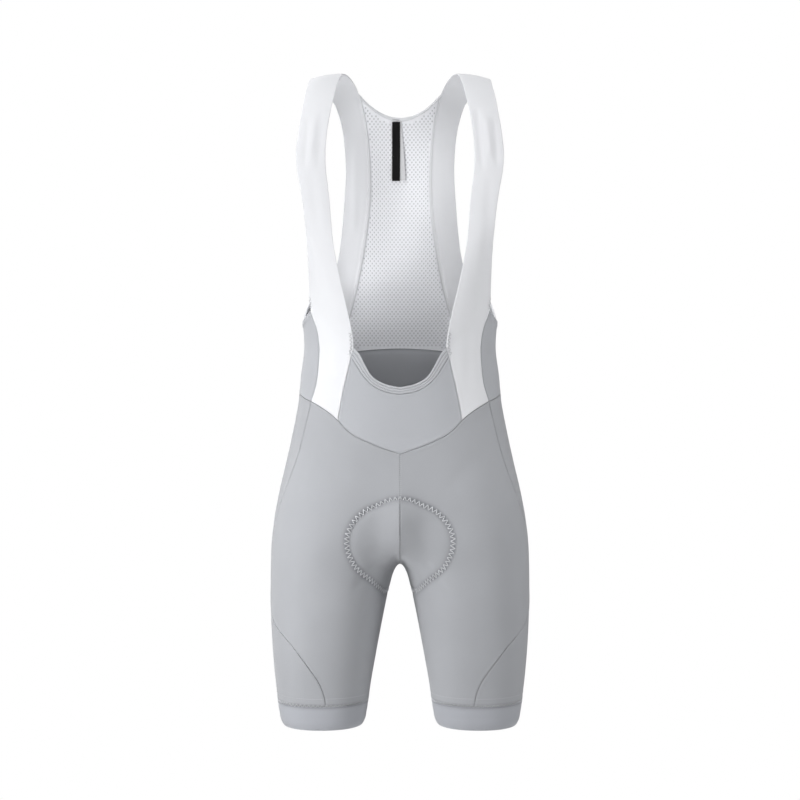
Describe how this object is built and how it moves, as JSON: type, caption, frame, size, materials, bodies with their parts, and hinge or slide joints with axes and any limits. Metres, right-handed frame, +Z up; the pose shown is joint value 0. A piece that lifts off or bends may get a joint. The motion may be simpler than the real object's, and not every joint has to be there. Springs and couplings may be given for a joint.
{
  "type": "bib cycling shorts",
  "caption": "Bib cycling shorts, filled out and empty: banded legs, seat pad, wide shoulder straps and a mesh back.",
  "frame": {"origin": "midway between the tops of the two shoulder straps, where a wearer's shoulders hold the garment up", "axes": "+Z up the garment, -Y its front, +X its own left side"},
  "size_m": [0.3536, 0.2423, 0.8899],
  "materials": {
    "front_leg_left": "smooth stretch knit",
    "front_leg_right": "smooth stretch knit",
    "back_leg_left": "smooth stretch knit",
    "back_leg_right": "smooth stretch knit",
    "hem_band_left": "smooth elastic band",
    "hem_band_right": "smooth elastic band",
    "front_bib": "smooth stretch knit",
    "front_neck_binding": "stitched binding",
    "strap_left": "smooth stretch knit",
    "strap_right": "smooth stretch knit",
    "back_yoke": "smooth stretch knit",
    "mesh_back": "open mesh knit",
    "back_neck_binding": "stitched binding",
    "care_label": "woven tape",
    "size_label": "woven tape",
    "seat_pad": "brushed padding"
  },
  "bodies": {
    "root": {"front_leg_left": "front_leg_left", "front_leg_right": "front_leg_right", "back_leg_left": "back_leg_left", "back_leg_right": "back_leg_right", "hem_band_left": "hem_band_left", "hem_band_right": "hem_band_right", "front_bib": "front_bib", "front_neck_binding": "front_neck_binding", "strap_left": "strap_left", "strap_right": "strap_right", "back_yoke": "back_yoke", "mesh_back": "mesh_back", "back_neck_binding": "back_neck_binding", "care_label": "care_label", "size_label": "size_label", "seat_pad": "seat_pad"}
  },
  "joints": []
}
